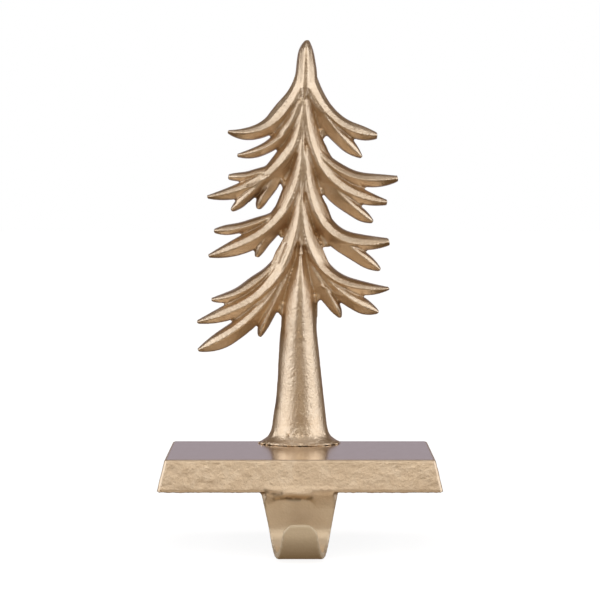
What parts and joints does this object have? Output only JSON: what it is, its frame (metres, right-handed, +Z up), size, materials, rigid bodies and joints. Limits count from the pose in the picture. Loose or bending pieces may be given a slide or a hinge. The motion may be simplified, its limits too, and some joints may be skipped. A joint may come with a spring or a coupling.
{
  "type": "mantel stocking holder",
  "caption": "One-sided cast fir tree on a tapered rectangular base, with a J-hook cast under its front edge that hangs a stocking over a mantel shelf.",
  "frame": {"origin": "under the centre of the base block, in the plane of the pad's underside, which is the top of the mantel shelf", "axes": "+Z up along the tree, +Y to the rear away from the hook, +X to the viewer's right when the hook faces the viewer"},
  "size_m": [0.114, 0.1035, 0.2079],
  "materials": {
    "base_casting": "satin champagne-gold lacquer over sand-cast metal, top ground smooth",
    "tree_casting": "satin champagne-gold lacquer over sand-cast metal",
    "screw_steel": "zinc plated",
    "felt": "pressed felt"
  },
  "bodies": {
    "root": {"base": "base_casting", "tree": "tree_casting", "tree_screws": "screw_steel", "felt_pad": "felt"}
  },
  "joints": []
}
